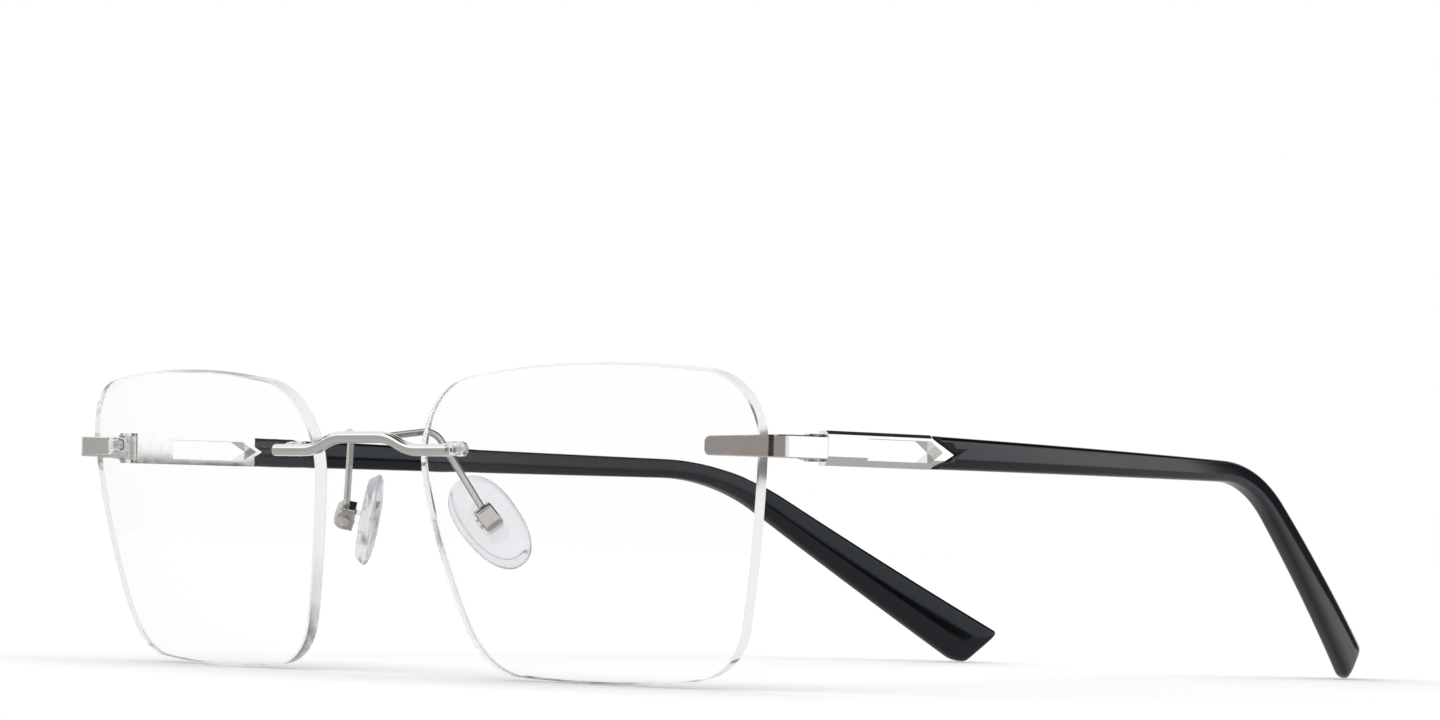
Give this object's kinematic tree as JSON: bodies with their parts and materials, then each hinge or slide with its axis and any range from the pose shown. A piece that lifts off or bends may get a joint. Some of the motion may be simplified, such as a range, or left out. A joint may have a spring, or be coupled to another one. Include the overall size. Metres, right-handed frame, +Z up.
{
  "type": "eyeglasses",
  "caption": "Rimless metal eyeglasses with clear squarish lenses, slim bridge, windowed metal temples, black acetate temple arms and clear nose pads.",
  "frame": {"origin": "middle of the open glasses' footprint, on the surface they stand on", "axes": "+X to the wearer's left, +Y back along the temples, +Z up; the lens fronts face -Y"},
  "size_m": [0.1344, 0.1558, 0.0384],
  "materials": {
    "clear_lens": "clear polished demo lens",
    "polished_metal": "bright silver plating",
    "satin_metal": "satin silver plating",
    "screw_steel": "bright steel",
    "core_metal": "plain wire",
    "clear_nylon": "clear moulded",
    "clear_silicone": "clear soft moulded",
    "black_acetate": "polished outside, satin inside"
  },
  "bodies": {
    "front": {"bridge": "polished_metal", "lens_left": "clear_lens", "lens_right": "clear_lens", "bridge_pins_left": "screw_steel", "bridge_pins_right": "screw_steel", "bridge_bushings_left": "clear_nylon", "bridge_bushings_right": "clear_nylon", "end_piece_left": "polished_metal", "end_piece_right": "polished_metal", "end_piece_pins_left": "screw_steel", "end_piece_pins_right": "screw_steel", "end_piece_bushings_left": "clear_nylon", "end_piece_bushings_right": "clear_nylon", "pad_arm_left": "satin_metal", "pad_arm_right": "satin_metal", "pad_box_left": "satin_metal", "pad_box_right": "satin_metal", "pad_screw_left": "screw_steel", "pad_screw_right": "screw_steel", "hinge_front_left": "satin_metal", "hinge_front_right": "satin_metal"},
    "temple_left": {"temple_plate_left": "polished_metal", "temple_arm_left": "black_acetate", "temple_core_left": "core_metal", "hinge_rear_left": "satin_metal", "hinge_screw_left": "screw_steel"},
    "pad_left": {"nose_pad_left": "clear_silicone", "nose_pad_stem_left": "clear_nylon"},
    "temple_right": {"temple_plate_right": "polished_metal", "temple_arm_right": "black_acetate", "temple_core_right": "core_metal", "hinge_rear_right": "satin_metal", "hinge_screw_right": "screw_steel"},
    "pad_right": {"nose_pad_right": "clear_silicone", "nose_pad_stem_right": "clear_nylon"}
  },
  "joints": [
    {"name": "fold_left", "type": "hinge", "parent": "front", "child": "temple_left", "pos_m": [0.06495, -0.06303, 0.02853], "axis": [0, 0, 1], "range_deg": [0, 79]},
    {"name": "fold_right", "type": "hinge", "parent": "front", "child": "temple_right", "pos_m": [-0.06495, -0.06303, 0.02853], "axis": [0, 0, -1], "range_deg": [0, 70]},
    {"name": "rock_left", "type": "hinge", "parent": "front", "child": "pad_left", "pos_m": [0.01395, -0.06774, 0.01983], "axis": [-0.4841, -0.627, -0.6104], "range_deg": [-8, 8]},
    {"name": "rock_right", "type": "hinge", "parent": "front", "child": "pad_right", "pos_m": [-0.01395, -0.06774, 0.01983], "axis": [-0.4841, 0.627, 0.6104], "range_deg": [-8, 8]}
  ]
}
